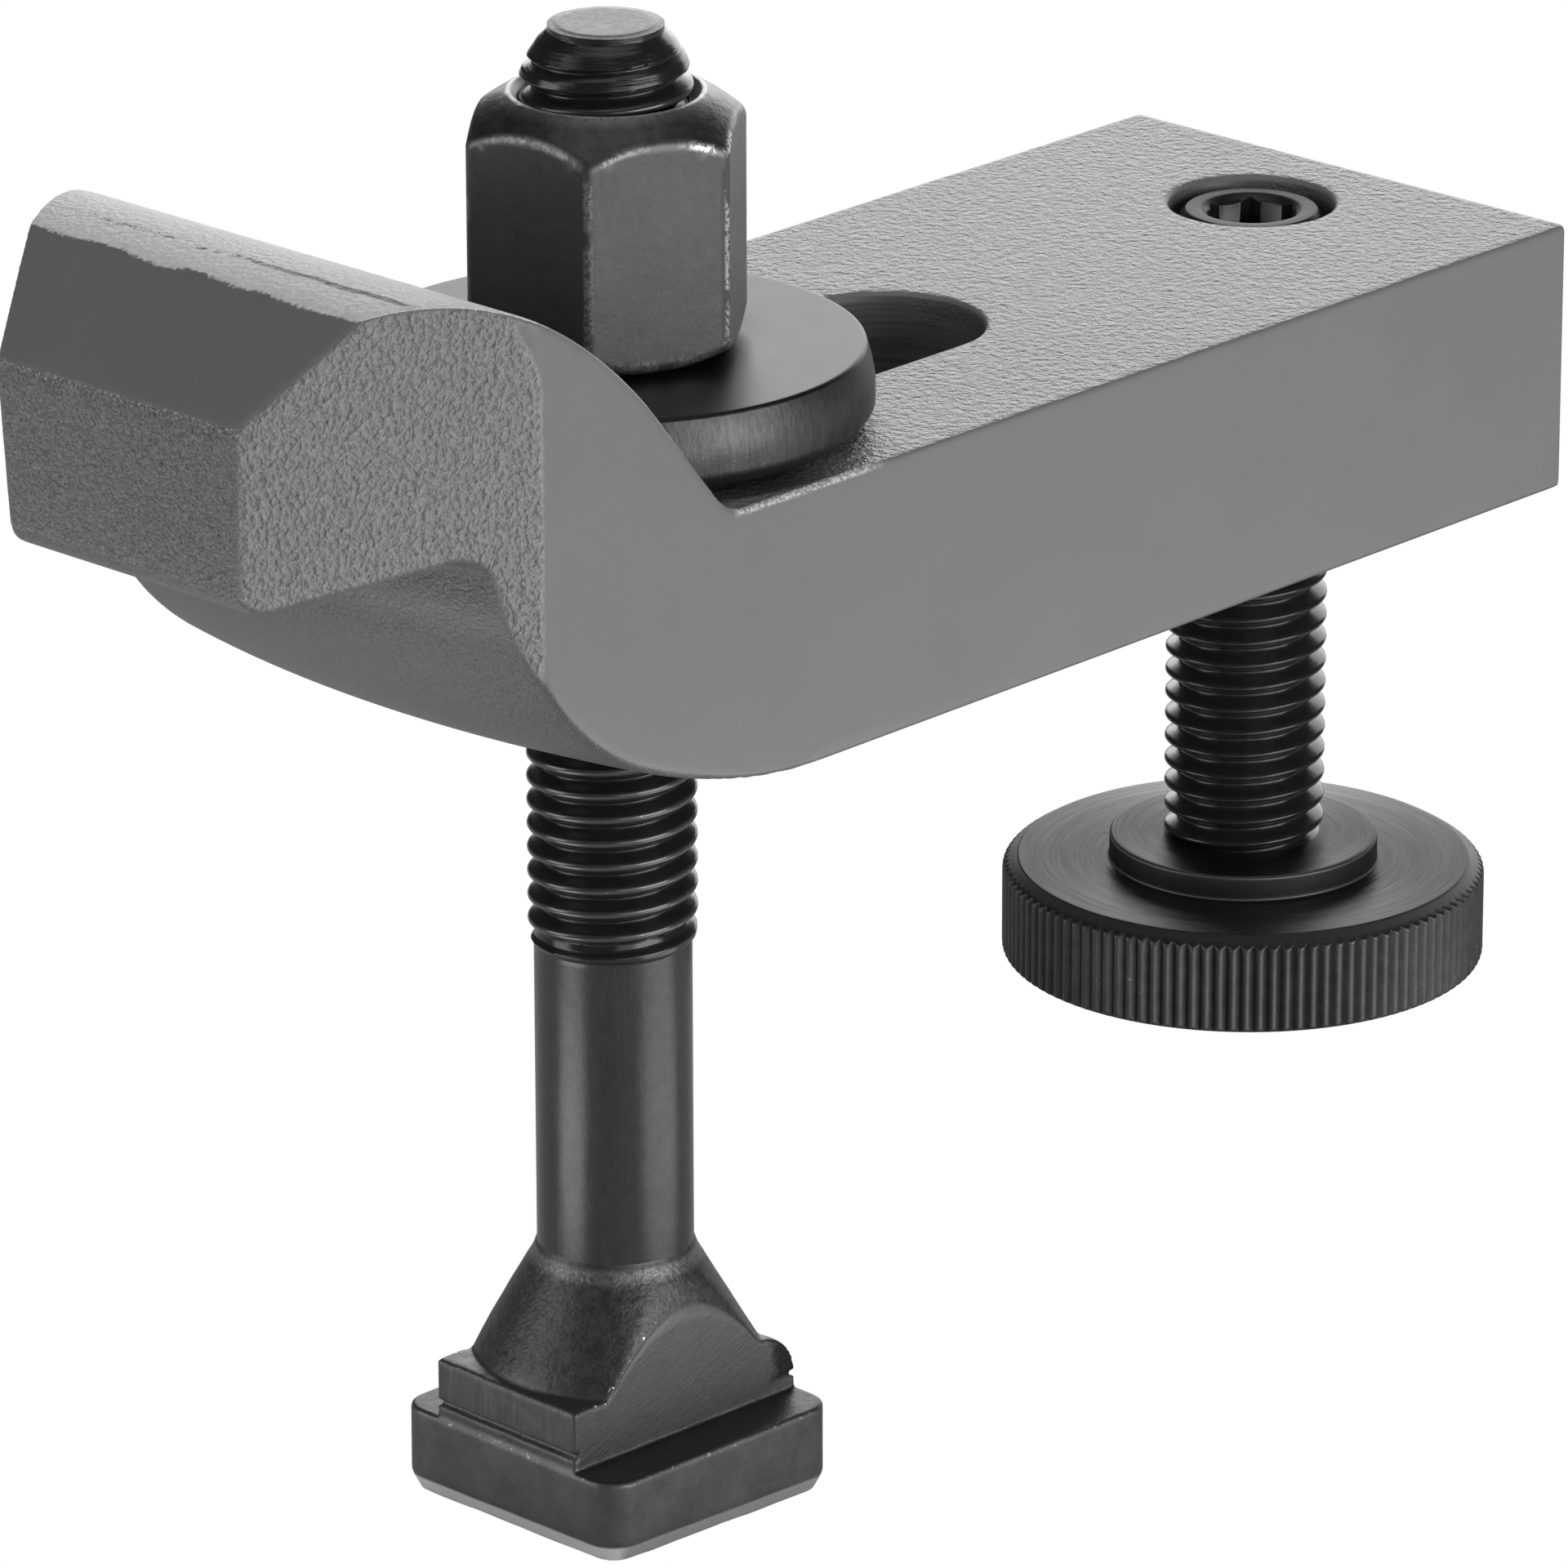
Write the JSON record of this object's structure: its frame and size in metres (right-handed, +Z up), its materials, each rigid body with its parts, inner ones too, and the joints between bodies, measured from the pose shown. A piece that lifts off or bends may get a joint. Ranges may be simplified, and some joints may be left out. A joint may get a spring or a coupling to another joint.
{
  "type": "strap_clamp",
  "caption": "Cranked strap clamp with T-slot bolt, tall domed nut, thick washer and knurled-foot support screw; the washer slides along the slot, the nut turns and the foot screws up and down",
  "frame": {"origin": "on the T-bolt's axis in the plane of the machine table, which is the underside of the support screw's foot", "axes": "+Z up along the bolt, +Y from the bolt towards the support screw along the strap, -Y towards the nose, +X across the strap"},
  "size_m": [0.0412, 0.1314, 0.1076],
  "materials": {
    "lacquer": "grey lacquer over forged steel, smooth on the bar's sides, grainy on the nose and on the bar's top",
    "washer_steel": "dark grey hardened steel, satin",
    "black_steel": "black oxide with an oily satin sheen"
  },
  "bodies": {
    "strap": {"strap": "lacquer"},
    "washer": {"washer": "washer_steel"},
    "nut": {"nut": "black_steel"},
    "t_bolt": {"t_bolt": "black_steel"},
    "support_screw": {"support_screw": "black_steel"}
  },
  "joints": [
    {"name": "washer_slide", "type": "slide", "parent": "strap", "child": "washer", "axis": [0, 1, 0], "range_m": [-0.003, 0.027]},
    {"name": "nut_turn", "type": "hinge", "parent": "washer", "child": "nut", "pos_m": [0, 0, 0.0635], "axis": [0, 0, 1], "range_deg": [-8662, 927]},
    {"name": "bolt_travel", "type": "slide", "parent": "washer", "child": "t_bolt", "axis": [0, 0, 1], "range_m": [-0.0045, 0.0421]},
    {"name": "support_travel", "type": "slide", "parent": "strap", "child": "support_screw", "axis": [0, 0, 1], "range_m": [-0.0075, 0.0285]}
  ],
  "couplings": [
    {"joint": "nut_turn", "follows": "bolt_travel", "rad_per_m": -3590.4}
  ]
}
